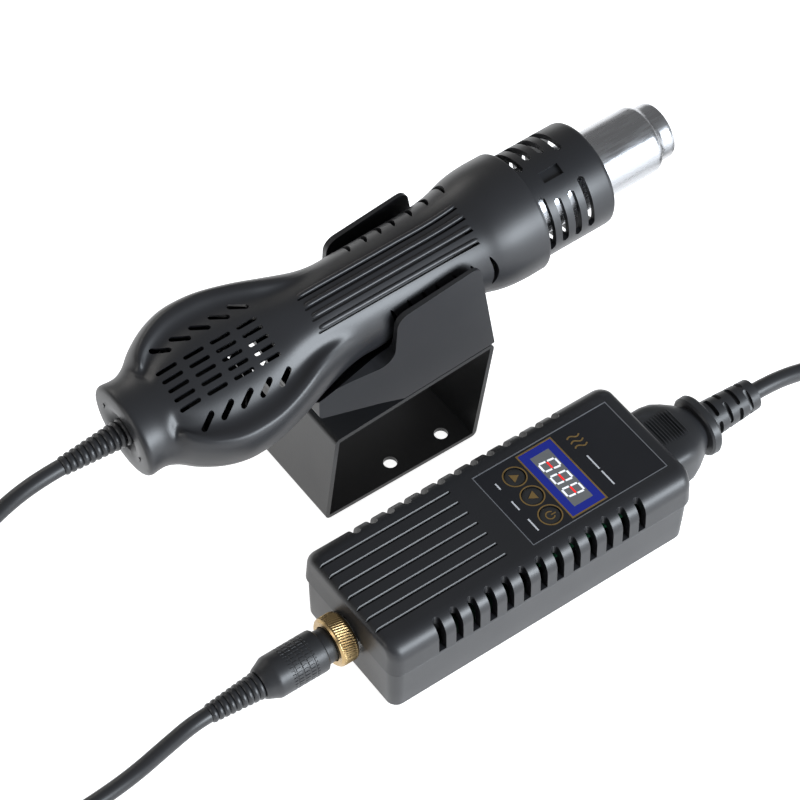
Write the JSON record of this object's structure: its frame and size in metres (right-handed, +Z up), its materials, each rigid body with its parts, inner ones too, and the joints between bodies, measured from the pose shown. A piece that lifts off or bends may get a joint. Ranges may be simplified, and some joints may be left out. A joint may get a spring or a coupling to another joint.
{
  "type": "hot air station",
  "caption": "Compact hot air station: a black control box with a display and keys, a bench stand, and a blower handpiece with a steel barrel, joined by cable.",
  "frame": {"origin": "centre of the control box's underside, on the bench", "axes": "+X runs along the control box towards the mains inlet and along the handpiece towards its nozzle, +Y from the control box towards the stand, +Z up"},
  "size_m": [0.502, 0.1178, 0.09],
  "materials": {
    "handle_plastic": "fine matt, dark grey-black",
    "case_plastic": "fine matt, dark grey-black",
    "guard_plastic": "satin black",
    "black_sheet": "satin black powder coat",
    "barrel_steel": "drawn tube, satin",
    "brass": "bright",
    "screw_steel": "plated",
    "nickel": "bright",
    "aluminium": "extruded",
    "cord_rubber": "smooth matt",
    "connector_rubber": "moulded matt",
    "button_rubber": "smooth matt",
    "tie_plastic": "matt",
    "label": "printed film, satin",
    "gold_print": "printed line",
    "white_print": "printed line",
    "blue_print": "printed field",
    "display_glass": "smoked filter",
    "segments_white": "unlit segment",
    "segments_red": "lit segment",
    "black_part": "moulded",
    "circuit_board": "solder mask",
    "fuse_glass": "clear",
    "ceramic": "ceramic and mica"
  },
  "bodies": {
    "root": {"case_bottom": "case_plastic", "case_top": "case_plastic", "case_screws": "screw_steel", "front_label": "label", "display_window": "display_glass", "display_module": "black_part", "tact_switches": "black_part", "control_board": "circuit_board", "power_board": "circuit_board", "transformer": "black_part", "capacitors": "black_part", "heat_sink": "aluminium", "power_triac": "black_part", "mains_fuse": "fuse_glass", "output_socket": "nickel", "socket_insulator": "black_part", "mains_inlet": "black_part", "inlet_blades": "brass", "stand_bracket": "black_sheet", "stand_cradle": "case_plastic", "stand_screws": "screw_steel", "cradle_magnet": "nickel", "cable_gun_end": "cord_rubber", "cable_coil": "cord_rubber", "cable_tie": "tie_plastic"},
    "handpiece": {"handle_upper_shell": "handle_plastic", "handle_lower_shell": "handle_plastic", "handle_screws": "screw_steel", "handle_strain_relief": "cord_rubber", "blower_housing": "black_part", "blower_motor": "nickel", "steel_barrel": "barrel_steel", "flange_screws": "screw_steel", "heater_mount": "ceramic", "barrel_guard": "guard_plastic", "heater_sleeve": "ceramic", "heater_core": "ceramic", "heater_wire": "nickel", "air_duct": "black_part", "standby_sensor": "circuit_board"},
    "fan": {"blower_impeller": "black_part"},
    "up_key": {"button_up": "button_rubber"},
    "down_key": {"button_down": "button_rubber"},
    "set_key": {"button_set": "button_rubber"},
    "cable_plug": {"plug_insert": "black_part", "plug_pins": "brass", "plug_housing": "connector_rubber", "plug_strain_relief": "cord_rubber", "cable_plug_end": "cord_rubber"},
    "nut": {"coupling_nut": "brass"},
    "mains_lead": {"connector_nose": "connector_rubber", "connector_grip": "connector_rubber", "connector_relief": "connector_rubber", "mains_cord": "cord_rubber", "mains_cord_end": "cord_rubber", "mains_coil": "cord_rubber", "mains_tie": "tie_plastic", "mains_plug": "connector_rubber", "mains_plug_pins": "nickel"}
  },
  "joints": [
    {"name": "handpiece_lift", "type": "slide", "parent": "root", "child": "handpiece", "axis": [0, 0, 1], "range_m": [0, 0.04]},
    {"name": "fan_spin", "type": "hinge", "parent": "handpiece", "child": "fan", "pos_m": [-0.06427, 0.06398, 0.06663], "axis": [-0.0333, -0.342, 0.9391], "continuous": true},
    {"name": "up_press", "type": "slide", "parent": "root", "child": "up_key", "axis": [0, 0, -1], "range_m": [0, 0.0004], "stiffness_N_per_m": 400},
    {"name": "down_press", "type": "slide", "parent": "root", "child": "down_key", "axis": [0, 0, -1], "range_m": [0, 0.0004], "stiffness_N_per_m": 400},
    {"name": "set_press", "type": "slide", "parent": "root", "child": "set_key", "axis": [0, 0, -1], "range_m": [0, 0.0004], "stiffness_N_per_m": 400},
    {"name": "plug_draw", "type": "slide", "parent": "root", "child": "cable_plug", "axis": [-1, 0, 0], "range_m": [0, 0.0045]},
    {"name": "nut_turn", "type": "hinge", "parent": "cable_plug", "child": "nut", "pos_m": [-0.0592, 0, 0.01425], "axis": [-1, 0, 0], "range_deg": [0, 1620]},
    {"name": "mains_draw", "type": "slide", "parent": "root", "child": "mains_lead", "axis": [1, 0, 0], "range_m": [0, 0.016]}
  ],
  "couplings": [
    {"joint": "plug_draw", "follows": "nut_turn", "m_per_rad": 0.00015915}
  ]
}
